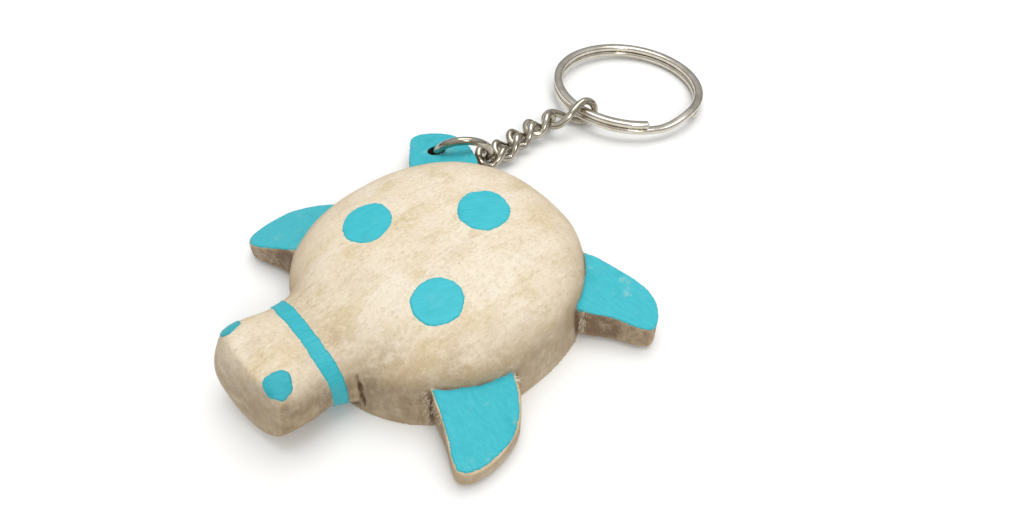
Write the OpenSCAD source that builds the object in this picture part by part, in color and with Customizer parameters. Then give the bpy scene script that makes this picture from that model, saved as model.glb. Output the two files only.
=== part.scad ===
// Carved wooden turtle keychain: one block of wood with painted marks, a jump ring
// through a hind flipper, a twisted curb chain and a double-coil split ring.
// It lies flat on its belly. The origin is on the resting plane under the middle of
// the shell, +Z is up and the head looks along -Y.

/* [Shell] */
// Half of the shell's width
shell_half_w = 17.3; // [15:0.1:20]
// Half of the shell's length
shell_half_l = 18.1; // [16:0.1:21]
// Height of the shell's top
shell_h = 11.6; // [10:0.1:14]
// Height at which the wall turns into the dome
shoulder_h = 5.5; // [4:0.1:7]
// How far the wall spreads at its foot
foot_flare = 0.6; // [0:0.1:1]

/* [Flippers] */
// Top height of the front flippers at the shell
front_root_z = 5.8; // [4.6:0.1:6]
// Top height of the front flippers at their tips
front_tip_z = 2.6; // [2:0.1:3.5]
// Top height of the hind flippers at the shell
hind_root_z = 5.6; // [5:0.1:6]
// Top height of the hind flippers at their tips
hind_tip_z = 4.0; // [3.7:0.1:4.6]
// Clear height under the drilled flipper
drilled_underside_z = 2.6; // [2.4:0.1:2.9]
// Diameter of the hole for the jump ring
hole_d = 2.7; // [2.6:0.05:2.8]

/* [Paint] */
// Thickness of the paint coat
coat = 0.1; // [0.05:0.01:0.15]
// Diameter of the two spots by the head
spot_d = 6.1; // [4:0.1:8]
// Diameter of the spot at the back
rear_spot_d = 6.6; // [4:0.1:8]
// Diameter of the eyes
eye_d = 3.4; // [2.5:0.1:4]
// Width of the collar
collar_w = 1.75; // [1:0.05:2.5]

/* [Chain] */
// Wire diameter of the chain links
link_wire = 1.15; // [1:0.05:1.2]
// Play between neighbouring links
link_play = 0.25; // [0.2:0.01:0.35]
// Half width of a chain link, measured on its wire's centre line
link_half_w = 1.52; // [1.5:0.01:1.65]
// Half width of the long end link, measured on its wire's centre line
end_link_half_w = 2.03; // [1.98:0.01:2.08]
// Wire diameter of the jump ring
jump_wire = 1.2; // [1:0.05:1.25]
// Radius of the jump ring, measured on its wire's centre line
jump_r = 3.9; // [3.8:0.05:4]

/* [Split ring] */
// Outside diameter of the split ring
ring_od = 25; // [24:0.1:26]
// Width of the ring's wire, seen from above
ring_wire_w = 1.4; // [1.2:0.05:1.5]
// Height of one coil of the ring's wire
ring_wire_h = 1.05; // [0.9:0.01:1.1]

/* [Hidden] */

wood = [0.90, 0.84, 0.73];
turquoise = [0.25, 0.72, 0.76];
nickel = [0.66, 0.64, 0.60];

// --- shell -----------------------------------------------------------------
plan_power = 2.23;   // a little squarer than an ellipse, seen from above
dome_power = 2.41;   // flatter on top than an ellipsoid
carved_flat = 0.03;  // how much flatter the rim is carved on one rear side,
flat_angle = 58;     // and in which direction from the middle
shell_sides = 64;
wall_steps = 5;
dome_steps = 12;

// --- head: one row per station: y, half width, underside z, top z, how square it is below ---
head_stations = [
    [-28.2, 4.2, 2.0,  5.4, 2.1],
    [-27.8, 5.5, 1.4,  6.9, 2.1],
    [-26.8, 6.4, 0.8,  9.2, 2.1],
    [-25.4, 6.9, 0.4, 10.8, 2.1],
    [-23.0, 7.0, 0.0, 10.8, 2.1],
    [-20.0, 6.8, 0.0, 10.0, 2.3],
    [-17.0, 7.5, 0.0,  9.5, 4.0],
    [-13.0, 7.8, 0.0, 10.5, 4.0]];
head_x = -0.4;       // the head is carved a little off the middle
crown_power = 2.7;   // how square a cross-section is above
head_sides = 40;

// --- flippers: outlines seen from above -------------------------------------
front_left = [[9, -10], [13.5, -12.6], [17.0, -13.9], [20.0, -15.4], [21.4, -15.5],
              [22.5, -13.9], [22.8, -11.0], [22.1, -7.9], [20.2, -5.4], [17.4, -3.6], [12, -2]];
front_right = [[-9, -10], [-13.6, -11.9], [-17.6, -13.5], [-20.9, -14.7], [-22.9, -14.4],
               [-24.2, -12.8], [-24.9, -10.0], [-24.8, -7.3], [-23.6, -5.2], [-21.2, -3.0],
               [-17.6, -1.2], [-12, 0]];
hind_left = [[9, 6.5], [13.5, 7.3], [16.4, 8.2], [19.3, 10.5], [22.2, 12.1], [23.3, 13.5],
             [22.3, 15.5], [20.3, 16.8], [17.8, 17.0], [14.3, 16.1], [11.0, 14.8], [7, 11]];
hind_right = [[-9, 7], [-14.0, 7.3], [-18.6, 9.2], [-22.4, 12.1], [-24.6, 14.1],
              [-24.5, 15.9], [-22.8, 17.6], [-20.5, 18.6], [-17.8, 18.7], [-14.6, 17.7],
              [-11.3, 16.0], [-7, 12]];
root_x = 15;             // where a flipper's top height is front_root_z or hind_root_z
tip_x = 23;              // and where it has come down to the tip's height
hole_at = [-18.85, 14.5];
belly_gap = 0.6;         // the other flippers' undersides clear the floor by this

// --- paint -------------------------------------------------------------------
spots = [[-7.8, -4.9, spot_d], [7.3, -6.3, spot_d], [0.1, 6.9, rear_spot_d]];
eye_left = [4.6, -24.9, 10.4];
eye_right = [-6.0, -24.9, 9.6];
collar_y = -19.6;
collar_lean = 6;
flipper_paint_inset = 0.25;

// --- jump ring: it leans over the flipper's edge and stands on the floor -------
jump_heading = 52.6;
jump_lean = 24;
jump_z = jump_r * cos(jump_lean) + jump_wire / 2;
hole_mid_z = (drilled_underside_z + 4.5) / 2;
// the wire's own coordinates at the hole, down from the ring's centre line
jump_drop = (jump_z - hole_mid_z) / cos(jump_lean);
jump_reach = sqrt(jump_r * jump_r - jump_drop * jump_drop);
jump_at = [hole_at.x + jump_reach * cos(jump_heading) + jump_drop * sin(jump_lean) * sin(jump_heading),
           hole_at.y + jump_reach * sin(jump_heading) - jump_drop * sin(jump_lean) * cos(jump_heading),
           jump_z];
jump_gap_angle = 4;

// --- chain: contact points, each a span and a heading on from the last ---------
contact_start = [-14.81, 19.9];
headings = [90, 99, 93, 85, 63];
spans = [3.52, 3.64, 3.64, 3.64, 6.85];
contact_z = [2.84, 1.98, 1.99, 2.09, 2.25, 3.0];
rolls = [6, 16, 26, 36, 48];
end_twist = 45;          // a link's ends are turned this far each way
twist_runs = [1.6, 1.6, 1.6, 1.6, 3.2];  // half of the length in which each link twists
wire_sides = 10;
link_steps = 40;

// --- split ring -----------------------------------------------------------------
ring_r = ring_od / 2 - ring_wire_w / 2;
ring_at = [-13.24, 50.9, 2.04];
ring_tilt = -3.7;
ring_end_angle = -34;    // the upper coil's cut end
ramp_from = 9;           // the wire climbs from one coil to the other in this stretch,
ramp_to = 44;            // in degrees on from the upper coil's cut end
ring_sides = 12;
ring_step = 6;

// signed power, for superellipses
function spow(v, p) = sign(v) * pow(abs(v), p);

// Catmull-Rom curve through points, n steps between neighbours
function knot(p, i, closed) =
    closed ? p[(i + len(p)) % len(p)] : p[max(0, min(len(p) - 1, i))];
function blend(a, b, c, d, t) =
    0.5 * (2 * b + (c - a) * t + (2 * a - 5 * b + 4 * c - d) * t * t
           + (3 * b - a - 3 * c + d) * t * t * t);
function curve(p, n, closed) = [
    for (i = [0 : len(p) - (closed ? 1 : 2)], s = [0 : n - 1])
        blend(knot(p, i - 1, closed), knot(p, i, closed), knot(p, i + 1, closed),
              knot(p, i + 2, closed), s / n),
    if (!closed) p[len(p) - 1]];

// A closed skin over a list of rings that all have the same number of points.
// looped joins the last ring to the first; otherwise both ends are capped.
module skin(rings, looped = false) {
    n = len(rings[0]);
    m = len(rings);
    points = [for (ring = rings, p = ring) p];
    sides = [for (i = [0 : m - (looped ? 1 : 2)], j = [0 : n - 1])
        let (a = i * n + j, b = i * n + (j + 1) % n,
             c = ((i + 1) % m) * n + (j + 1) % n, d = ((i + 1) % m) * n + j)
        each [[a, b, c], [a, c, d]]];
    caps = looped ? [] : [[for (j = [n - 1 : -1 : 0]) j], [for (j = [0 : n - 1]) (m - 1) * n + j]];
    polyhedron(points, concat(sides, caps), convexity = 10);
}

// --- wooden block ---------------------------------------------------------------
function shell_ring(k, z, grow) = [
    for (j = [0 : shell_sides - 1])
        let (t = -360 * j / shell_sides,
             r = k * (1 - carved_flat * pow(max(0, cos(t - flat_angle)), 2)))
        [(shell_half_w + grow) * r * spow(cos(t), 2 / plan_power),
         (shell_half_l + grow) * r * spow(sin(t), 2 / plan_power), z]];

module shell_block(grow = 0) {
    wall = [for (i = [0 : wall_steps - 1])
        let (s = i / wall_steps)
        shell_ring(1 + foot_flare * pow(1 - s, 2) / shell_half_l, shoulder_h * s, grow)];
    dome = [for (i = [0 : dome_steps])
        let (s = min(88, 90 * i / dome_steps))
        shell_ring(pow(cos(s), 2 / dome_power),
                   shoulder_h + (shell_h + grow - shoulder_h) * pow(sin(s), 2 / dome_power), grow)];
    skin(concat(wall, dome));
}

function head_ring(s, grow) = [
    for (j = [0 : head_sides - 1])
        let (t = 360 * (j + 0.5) / head_sides, e = 2 / (sin(t) > 0 ? crown_power : s[4]))
        [head_x + (s[1] + grow) * spow(cos(t), e), s[0],
         (s[3] + s[2]) / 2 + ((s[3] - s[2]) / 2 + grow) * spow(sin(t), e)]];

module head_block(grow = 0) {
    skin([for (s = curve(head_stations, 3, false)) head_ring(s, grow)]);
}

// Everything between a flipper's flat underside at floor_z and its sloping top, which is
// raised by lift; side is 1 or -1
module under_top(side, root_z, tip_z, floor_z = 0, lift = 0) {
    slope = (tip_z - root_z) / (tip_x - root_x);
    near = 5;
    far = 27;
    outline = [[near, floor_z],
               [near, root_z + slope * (near - root_x) + lift],
               [far, root_z + slope * (far - root_x) + lift],
               [far, floor_z]];
    rotate([90, 0, 0]) translate([0, 0, -30]) linear_extrude(60)
        polygon([for (p = outline) [side * p.x, p.y]]);
}

module flipper(outline, side, root_z, tip_z, floor_z) {
    intersection() {
        translate([0, 0, -1]) linear_extrude(14) polygon(curve(outline, 4, true));
        under_top(side, root_z, tip_z, floor_z);
    }
}

module flipper_hole() {
    translate([hole_at.x, hole_at.y, -1]) cylinder(d = hole_d, h = 14, $fn = 48);
}

module turtle_body() {
    color(wood) difference() {
        union() {
            shell_block();
            head_block();
            flipper(front_left, 1, front_root_z, front_tip_z, belly_gap);
            flipper(front_right, -1, front_root_z, front_tip_z, belly_gap);
            flipper(hind_left, 1, hind_root_z, hind_tip_z, belly_gap);
            flipper(hind_right, -1, hind_root_z, hind_tip_z, drilled_underside_z);
        }
        flipper_hole();
    }
}

// --- paint ------------------------------------------------------------------------
module paint_shell_spots() {
    color(turquoise) intersection() {
        for (p = spots)
            translate([p.x, p.y, shoulder_h]) cylinder(d = p[2], h = shell_h, $fn = 64);
        difference() {
            shell_block(coat);
            shell_block();
        }
    }
}

module flipper_paint(outline, side, root_z, tip_z) {
    difference() {
        intersection() {
            translate([0, 0, 1]) linear_extrude(12)
                offset(delta = -flipper_paint_inset) polygon(curve(outline, 4, true));
            under_top(side, root_z, tip_z, 0, coat);
        }
        under_top(side, root_z, tip_z);
    }
}

module paint_flippers() {
    color(turquoise) difference() {
        union() {
            flipper_paint(front_left, 1, front_root_z, front_tip_z);
            flipper_paint(front_right, -1, front_root_z, front_tip_z);
            flipper_paint(hind_left, 1, hind_root_z, hind_tip_z);
            flipper_paint(hind_right, -1, hind_root_z, hind_tip_z);
        }
        shell_block();
        flipper_hole();
    }
}

module paint_collar() {
    color(turquoise) intersection() {
        difference() {
            head_block(coat);
            head_block();
            shell_block();
        }
        translate([0, collar_y, 0]) rotate([-collar_lean, 0, 0])
            translate([-10, -collar_w / 2, 0.6]) cube([20, collar_w, 14]);
    }
}

module paint_eyes() {
    color(turquoise) intersection() {
        difference() {
            head_block(coat);
            head_block();
        }
        for (eye = [eye_left, eye_right])
            translate(eye) rotate([15, sign(eye.x) * 20, 0])
                translate([0, 0, -3]) cylinder(d = eye_d, h = 6, $fn = 40);
    }
}

// --- chain --------------------------------------------------------------------------
function unit(v) = v / norm(v);
function heading_of(a) = [cos(a), sin(a)];

// contact point i, between the wires of two neighbours
function contact_xy(i) =
    i == 0 ? contact_start : contact_xy(i - 1) + spans[i - 1] * heading_of(headings[i - 1]);
function contact(i) = [contact_xy(i).x, contact_xy(i).y, contact_z[i]];

// A point on a stadium with straights of 2 * st and ends of radius b, at arc length q
function stadium(q, st, b) =
    let (q1 = PI * b / 2, q2 = q1 + 2 * st, q3 = q2 + PI * b, q4 = q3 + 2 * st, deg = 180 / PI)
    q < q1 ? [st + b * cos(q / b * deg), b * sin(q / b * deg)]
    : q < q2 ? [st - (q - q1), b]
    : q < q3 ? [-st - b * sin((q - q2) / b * deg), b * cos((q - q2) / b * deg)]
    : q < q4 ? [-st + (q - q3), -b]
    : [st + b * sin((q - q4) / b * deg), -b * cos((q - q4) / b * deg)];

function twist_at(x, run) =
    let (u = max(-1, min(1, x / run))) end_twist * u * (1.5 - 0.5 * u * u);

// The centre line of link k, 1 to 5, lying between contact k - 1 and contact k
function link_line(k) =
    let (from = contact(k - 1), to = contact(k), e = unit(to - from),
         half_l = (norm(to - from) + link_wire + link_play) / 2,
         b = k == 5 ? end_link_half_w : link_half_w,
         level = unit(cross(e, [0, 0, 1])), up = cross(level, e),
         w = level * cos(rolls[k - 1]) + up * sin(rolls[k - 1]), n = cross(w, e),
         st = half_l - b, around = 2 * PI * b + 4 * st)
    [for (i = [0 : link_steps - 1])
        let (p = stadium(around * i / link_steps, st, b), a = twist_at(p.x, twist_runs[k - 1]))
        (from + to) / 2 + p.x * e + p.y * cos(a) * w + p.y * sin(a) * n];

// Rings of a round wire swept round a closed line; side points across the wire
function wire_ring(c, along, side, r) =
    let (u = unit(side - (side * along) * along), v = cross(along, u))
    [for (j = [0 : wire_sides - 1])
        c + r * (cos(360 * j / wire_sides) * u + sin(360 * j / wire_sides) * v)];

module chain_link(k) {
    line = link_line(k);
    n = len(line);
    middle = (contact(k - 1) + contact(k)) / 2;
    color(nickel)
        skin([for (i = [0 : n - 1])
            wire_ring(line[i], unit(line[(i + 1) % n] - line[(i + n - 1) % n]),
                      line[i] - middle, link_wire / 2)],
             looped = true);
}

module jump_ring() {
    color(nickel) translate(jump_at) rotate([0, 0, jump_heading])
        rotate([90 + jump_lean, 0, 0]) rotate([0, 0, jump_gap_angle / 2 - 90])
            rotate_extrude(angle = 360 - jump_gap_angle, $fn = 96)
                translate([jump_r, 0]) circle(d = jump_wire, $fn = 32);
}

// --- split ring ------------------------------------------------------------------------
// Height of the wire's centre, a degrees on from the upper coil's cut end.
// The lower coil comes first, then the ramp, then the upper coil back to the cut end.
function ring_z(a) =
    let (u = max(0, min(1, (a - 360 - ramp_from) / (ramp_to - ramp_from))))
    ring_wire_h * (u * u * (3 - 2 * u) - 0.5);

module split_ring() {
    first = ramp_to + 2;
    last = 720;
    n = ceil((last - first) / ring_step);
    color(nickel) translate(ring_at) rotate([ring_tilt, 0, 0])
        skin([for (i = [0 : n])
            let (a = first + (last - first) * i / n, t = ring_end_angle + a)
            [for (j = [0 : ring_sides - 1])
                let (s = -360 * (j + 0.5) / ring_sides,
                     rr = ring_r + ring_wire_w / 2 * cos(s))
                [rr * cos(t), rr * sin(t), ring_z(a) + (ring_wire_h - 0.02) / 2 * sin(s)]]]);
}

turtle_body();
paint_shell_spots();
paint_flippers();
paint_collar();
paint_eyes();
jump_ring();
chain_link(1);  // chain_link_1
chain_link(2);  // chain_link_2
chain_link(3);  // chain_link_3
chain_link(4);  // chain_link_4
chain_link(5);  // chain_link_5
split_ring();
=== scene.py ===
"""Looks for the carved turtle keychain: the wooden block with its paint, the jump ring,
the curb chain and the split ring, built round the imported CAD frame.
The shape formulas repeat part.scad's in millimetres; MM turns them into metres."""

import bmesh
import bpy
import numpy as np
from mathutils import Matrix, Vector
from mathutils.kdtree import KDTree


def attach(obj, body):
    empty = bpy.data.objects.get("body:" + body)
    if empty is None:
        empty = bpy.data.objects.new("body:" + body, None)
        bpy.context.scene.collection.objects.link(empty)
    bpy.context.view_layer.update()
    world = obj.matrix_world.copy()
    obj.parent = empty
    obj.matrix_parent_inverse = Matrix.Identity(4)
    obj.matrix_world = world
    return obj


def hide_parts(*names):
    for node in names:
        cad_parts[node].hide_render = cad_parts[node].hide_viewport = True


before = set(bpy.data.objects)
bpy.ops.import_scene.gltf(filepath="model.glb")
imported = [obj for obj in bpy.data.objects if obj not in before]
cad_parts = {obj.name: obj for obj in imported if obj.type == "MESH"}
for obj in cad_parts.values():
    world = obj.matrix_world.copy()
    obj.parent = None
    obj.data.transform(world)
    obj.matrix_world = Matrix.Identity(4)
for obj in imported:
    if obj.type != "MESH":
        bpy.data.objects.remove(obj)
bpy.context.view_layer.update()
MM = 0.001

# --- camera ---------------------------------------------------------------------------
CAMERA_AT, CAMERA_LENS, CAMERA_SENSOR = (50.427, -37.095, 75.576), 26.508, 36.0
# degrees up from looking straight down, of roll, and to the left of looking along +Y
CAMERA_TILT, CAMERA_ROLL, CAMERA_HEADING = 42.57, -1.17, 46.99
camera_data = bpy.data.cameras.new("camera")
camera_data.lens, camera_data.sensor_width = CAMERA_LENS, CAMERA_SENSOR
camera_data.clip_start, camera_data.clip_end = 0.005, 5.0
camera = bpy.data.objects.new("camera", camera_data)
bpy.context.scene.collection.objects.link(camera)
camera.location = Vector(CAMERA_AT) * MM
camera.rotation_euler = np.radians((CAMERA_TILT, CAMERA_ROLL, CAMERA_HEADING))
bpy.context.scene.camera = camera


# --- noise ----------------------------------------------------------------------------
def lattice(ix, iy, iz, seed):
    """A steady pseudo-random number from 0 to 1 for each whole-number point."""
    h = (ix * 374761393 + iy * 668265263 + iz * 1442695041 + seed * 1274126177) & 0xFFFFFFFF
    h = ((h ^ (h >> 13)) * 1274126177) & 0xFFFFFFFF
    return ((h ^ (h >> 16)) & 0xFFFF) / 65535.0


def noise(p, scale, seed, octaves=1):
    """Smooth noise from -1 to 1 at points p in mm; scale is one length or one for each axis, in mm."""
    out, weight, total = np.zeros(len(p)), 1.0, 0.0
    q = p / np.asarray(scale, float)
    for octave in range(octaves):
        cell = np.floor(q).astype(np.int64)
        f = q - cell
        f = f * f * (3 - 2 * f)
        value = np.zeros(len(p))
        for dx in (0, 1):
            for dy in (0, 1):
                for dz in (0, 1):
                    w = ((f[:, 0] if dx else 1 - f[:, 0]) * (f[:, 1] if dy else 1 - f[:, 1])
                         * (f[:, 2] if dz else 1 - f[:, 2]))
                    value += w * lattice(cell[:, 0] + dx, cell[:, 1] + dy, cell[:, 2] + dz, seed + octave)
        out += weight * (2 * value - 1)
        total += weight
        weight *= 0.5
        q = q * 2.03
    return out / total


def ramp(x, low, high):
    """0 below low, 1 above high and smooth between."""
    t = np.clip((x - low) / (high - low), 0, 1)
    return t * t * (3 - 2 * t)


# --- mesh helpers ---------------------------------------------------------------------
def new_mesh(name, verts_mm, faces):
    mesh = bpy.data.meshes.new(name)
    mesh.from_pydata((np.asarray(verts_mm, float) * MM).tolist(), [], faces)
    mesh.validate()
    mesh.update()
    return mesh


def new_object(name, verts_mm, faces):
    obj = bpy.data.objects.new(name, new_mesh(name, verts_mm, faces))
    bpy.context.scene.collection.objects.link(obj)
    return obj


def skin(rings, looped=False):
    """Points and faces of a closed skin over rings of equal length."""
    m, n = len(rings), len(rings[0])
    faces = []
    for i in range(m if looped else m - 1):
        a, b = i * n, ((i + 1) % m) * n
        faces += [(a + j, a + (j + 1) % n, b + (j + 1) % n, b + j) for j in range(n)]
    if not looped:
        faces += [tuple(range(n - 1, -1, -1)), tuple(range((m - 1) * n, m * n))]
    return np.concatenate(rings), faces


def joined(parts):
    """Points and faces of several meshes as one."""
    faces, base = [], 0
    for verts, own_faces in parts:
        faces += [tuple(i + base for i in face) for face in own_faces]
        base += len(verts)
    return np.concatenate([verts for verts, _ in parts]), faces


def points_of(mesh):
    co = np.empty(len(mesh.vertices) * 3, np.float32)
    mesh.vertices.foreach_get("co", co)
    return co.reshape(-1, 3).astype(float) / MM


def set_points(mesh, p):
    mesh.vertices.foreach_set("co", (p * MM).astype(np.float32).ravel())
    mesh.update()


def normals_of(mesh):
    n = np.empty(len(mesh.vertices) * 3, np.float32)
    mesh.vertices.foreach_get("normal", n)
    return n.reshape(-1, 3).astype(float)


def edges_of(mesh):
    e = np.empty(len(mesh.edges) * 2, np.int32)
    mesh.edges.foreach_get("vertices", e)
    return e.reshape(-1, 2)


def neighbour_mean(values, edges):
    total = np.zeros_like(values)
    degree = np.bincount(edges.ravel(), minlength=len(values)).clip(1)
    for a, b in ((0, 1), (1, 0)):
        for c in range(values.shape[1]):
            total[:, c] += np.bincount(edges[:, a], values[edges[:, b], c], len(values))
    return total / degree[:, None]


def relax(values, edges, times, share=0.5):
    for _ in range(times):
        values = values + share * (neighbour_mean(values, edges) - values)
    return values


def shade_smooth(obj):
    obj.data.polygons.foreach_set("use_smooth", [True] * len(obj.data.polygons))


def attribute(mesh, name, values):
    layer = mesh.attributes.get(name) or mesh.attributes.new(name, "FLOAT", "POINT")
    layer.data.foreach_set("value", np.asarray(values, np.float32))


def attribute_of(mesh, name):
    values = np.empty(len(mesh.vertices), np.float32)
    mesh.attributes[name].data.foreach_get("value", values)
    return values.astype(float)


def unit(v):
    return v / np.linalg.norm(v, axis=-1, keepdims=True)


def spow(v, p):
    """A power that keeps the sign."""
    return np.sign(v) * np.abs(v) ** p


def curve(points, steps, closed):
    """Catmull-Rom curve through points, steps between neighbours."""
    p = np.asarray(points, float)
    n = len(p)
    out = []
    for i in range(n if closed else n - 1):
        if closed:
            a, b, c, d = (p[(i + k) % n] for k in (-1, 0, 1, 2))
        else:
            a, b, c, d = (p[min(max(i + k, 0), n - 1)] for k in (-1, 0, 1, 2))
        for t in np.arange(steps) / steps:
            out.append(0.5 * (2 * b + (c - a) * t + (2 * a - 5 * b + 4 * c - d) * t * t
                              + (3 * b - a - 3 * c + d) * t ** 3))
    if not closed:
        out.append(p[-1])
    return np.array(out)


# --- the wooden block -------------------------------------------------------------------
SHELL_HALF_W, SHELL_HALF_L, SHELL_H, SHOULDER_H = 17.3, 18.1, 11.6, 5.5
PLAN_POWER, DOME_POWER = 2.23, 2.41
FOOT_FLARE, CARVED_FLAT, FLAT_ANGLE = 0.6, 0.03, np.radians(58)
HEAD_X, CROWN_POWER = -0.4, 2.7
# y, half width, underside z, top z, how square it is below
HEAD = [[-28.2, 4.2, 2.0, 5.4, 2.1], [-27.8, 5.5, 1.4, 6.9, 2.1], [-26.8, 6.4, 0.8, 9.2, 2.1],
        [-25.4, 6.9, 0.4, 10.8, 2.1], [-23.0, 7.0, 0.0, 10.8, 2.1], [-20.0, 6.8, 0.0, 10.0, 2.3],
        [-17.0, 7.5, 0.0, 9.5, 4.0], [-13.0, 7.8, 0.0, 10.5, 4.0]]
ROOT_X, TIP_X = 15.0, 23.0
HOLE_AT, HOLE_R = np.array([-18.85, 14.5]), 1.35
BELLY_GAP, DRILLED_UNDERSIDE = 0.6, 2.6
# name: outline, side, top height at the root and at the tip, underside, bare rim
FLIPPERS = {
    "front_left": ([[9, -10], [13.5, -12.6], [17.0, -13.9], [20.0, -15.4], [21.4, -15.5], [22.5, -13.9],
                    [22.8, -11.0], [22.1, -7.9], [20.2, -5.4], [17.4, -3.6], [12, -2]],
                   1, 5.8, 2.6, BELLY_GAP, 0.30),
    "front_right": ([[-9, -10], [-13.6, -11.9], [-17.6, -13.5], [-20.9, -14.7], [-22.9, -14.4],
                     [-24.2, -12.8], [-24.9, -10.0], [-24.8, -7.3], [-23.6, -5.2], [-21.2, -3.0],
                     [-17.6, -1.2], [-12, 0]], -1, 5.8, 2.6, BELLY_GAP, 0.10),
    "hind_left": ([[9, 6.5], [13.5, 7.3], [16.4, 8.2], [19.3, 10.5], [22.2, 12.1], [23.3, 13.5],
                   [22.3, 15.5], [20.3, 16.8], [17.8, 17.0], [14.3, 16.1], [11.0, 14.8], [7, 11]],
                  1, 5.6, 4.0, BELLY_GAP, 0.06),
    "hind_right": ([[-9, 7], [-14.0, 7.3], [-18.6, 9.2], [-22.4, 12.1], [-24.6, 14.1], [-24.5, 15.9],
                    [-22.8, 17.6], [-20.5, 18.6], [-17.8, 18.7], [-14.6, 17.7], [-11.3, 16.0], [-7, 12]],
                   -1, 5.6, 4.0, DRILLED_UNDERSIDE, 0.06),
}
# cell of the block's skin, softness of a cut's edge, passes that fair the neck
VOXEL, FLAT_SOFTNESS, FAIRING_STEPS = 0.16, 0.10, 260
# a point and the normal of each cut on the head
HEAD_FLATS = [((0.0, -26.9, 10.2), (0.22, -0.95, 0.14)), ((6.2, -25.0, 6.0), (0.93, -0.36, 0.04)),
              ((-0.4, -23.0, 10.65), (0.0, -0.12, 0.99))]
# saw and knife cuts: x, y, from height, to height, width, depth
NOTCHES = [(7.0, -17.3, 0.4, 7.0, 0.19, 0.9), (13.6, -12.9, 0.2, 6.2, 0.16, 0.4),
           (17.1, 7.9, 0.2, 6.0, 0.16, 0.35)]
# middle, reach and strength of the dirty and shaded places: real handling dirt, and painted shade at the
# flipper and neck roots
DIRT_AND_ROOT_SHADE = [((8.6, -15.0, 7.0), 3.4, 1.1), ((3.0, -17.4, 9.4), 2.4, 0.8), ((-4.0, -17.0, 9.2), 2.4, 0.6),
        ((14.6, -9.5, 6.8), 3.4, 1.2), ((16.2, -4.5, 6.6), 2.8, 1.1), ((13.9, 11.0, 6.8), 2.6, 0.8),
        ((12.0, -13.5, 3.0), 3.0, 1.0), ((5.8, -26.0, 4.5), 2.0, 0.7), ((-1.8, -23.6, 10.8), 1.6, 0.45),
        ((-16.5, 6.5, 5.5), 2.4, 0.8), ((6.6, -18.0, 3.0), 2.0, 1.3), ((5.6, -22.5, 3.5), 2.2, 0.8)]
# painted marks: middle, radius and, for a spot, its stretch and the heading of the stretch
SPOTS = [((-7.8, -4.9), 3.05, 1.15, 134), ((7.3, -6.3), 3.02, 1.0, 0), ((0.1, 6.9), 3.2, 1.2, 134)]
EYES = [((4.6, -24.9, 10.3), 1.7), ((-5.7, -24.8, 9.8), 1.35)]
COLLAR_Y, COLLAR_W, COLLAR_SKEW = -19.15, 1.8, 0.055


def shell_ring(k, z, sides=240):
    t = -2 * np.pi * np.arange(sides) / sides
    r = k * (1 - CARVED_FLAT * np.maximum(0, np.cos(t - FLAT_ANGLE)) ** 2)
    return np.stack([SHELL_HALF_W * r * spow(np.cos(t), 2 / PLAN_POWER),
                     SHELL_HALF_L * r * spow(np.sin(t), 2 / PLAN_POWER), np.full(sides, z)], 1)


def shell_mesh():
    rings = []
    for s in np.arange(16) / 16:
        rings.append(shell_ring(1 + FOOT_FLARE * (1 - s) ** 2 / SHELL_HALF_L, SHOULDER_H * s))
    for s in np.radians(np.minimum(88, 90 * np.arange(61) / 60)):
        rings.append(shell_ring(np.cos(s) ** (2 / DOME_POWER),
                                SHOULDER_H + (SHELL_H - SHOULDER_H) * np.sin(s) ** (2 / DOME_POWER)))
    return skin(rings)


def head_mesh(sides=160):
    t = 2 * np.pi * (np.arange(sides) + 0.5) / sides
    rings = []
    for y, w, low, high, square in curve(HEAD, 12, False):
        e = np.where(np.sin(t) > 0, 2 / CROWN_POWER, 2 / square)
        rings.append(np.stack([HEAD_X + w * spow(np.cos(t), e), np.full(sides, y),
                               (high + low) / 2 + (high - low) / 2 * spow(np.sin(t), e)], 1))
    return skin(rings)


def flipper_top(x, side, root_z, tip_z):
    return root_z + (tip_z - root_z) * (side * x - ROOT_X) / (TIP_X - ROOT_X)


def flipper_mesh(outline, side, root_z, tip_z, underside, drilled):
    """A prism over the outline with a sloping top, with the ring's hole through it if drilled."""
    loops = [curve(outline, 10, True)]
    if drilled:
        t = 2 * np.pi * np.arange(48) / 48
        loops.append(HOLE_AT + HOLE_R * np.stack([np.cos(t), np.sin(t)], 1))
    bm = bmesh.new()
    lids = []
    for height in (0.0, 1.0):
        rows = []
        for loop in loops:
            verts = [bm.verts.new((x, y, height)) for x, y in loop]
            rows.append((verts, [bm.edges.new((verts[i - 1], verts[i])) for i in range(len(verts))]))
        bmesh.ops.triangle_fill(bm, edges=[e for r in rows for e in r[1]], use_beauty=True)
        lids.append(rows)
    for (low, _), (high, _) in zip(*lids):
        for i in range(len(low)):
            bm.faces.new((low[i - 1], low[i], high[i], high[i - 1]))
    for v in bm.verts:
        v.co.z = flipper_top(v.co.x, side, root_z, tip_z) if v.co.z > 0.5 else underside
    bmesh.ops.recalc_face_normals(bm, faces=bm.faces)
    bm.verts.index_update()
    verts = np.array([v.co for v in bm.verts])
    faces = [tuple(v.index for v in f.verts) for f in bm.faces]
    bm.free()
    return verts, faces


def outline_depth(p, outline):
    """How far each point is inside the outline, seen from above, in mm; negative outside."""
    loop = curve(outline, 10, True)
    inside = np.zeros(len(p), bool)
    nearest = np.full(len(p), 1e9)
    for a, b in zip(loop, np.roll(loop, -1, 0)):
        d = b - a
        t = np.clip(((p[:, :2] - a) @ d) / (d @ d), 0, 1)
        nearest = np.minimum(nearest, np.hypot(*(p[:, :2] - a - t[:, None] * d).T))
        cross = (a[1] > p[:, 1]) != (b[1] > p[:, 1])
        with np.errstate(divide="ignore", invalid="ignore"):
            inside ^= cross & (p[:, 0] < a[0] + (p[:, 1] - a[1]) * d[0] / d[1])
    return np.where(inside, nearest, -nearest)


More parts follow.
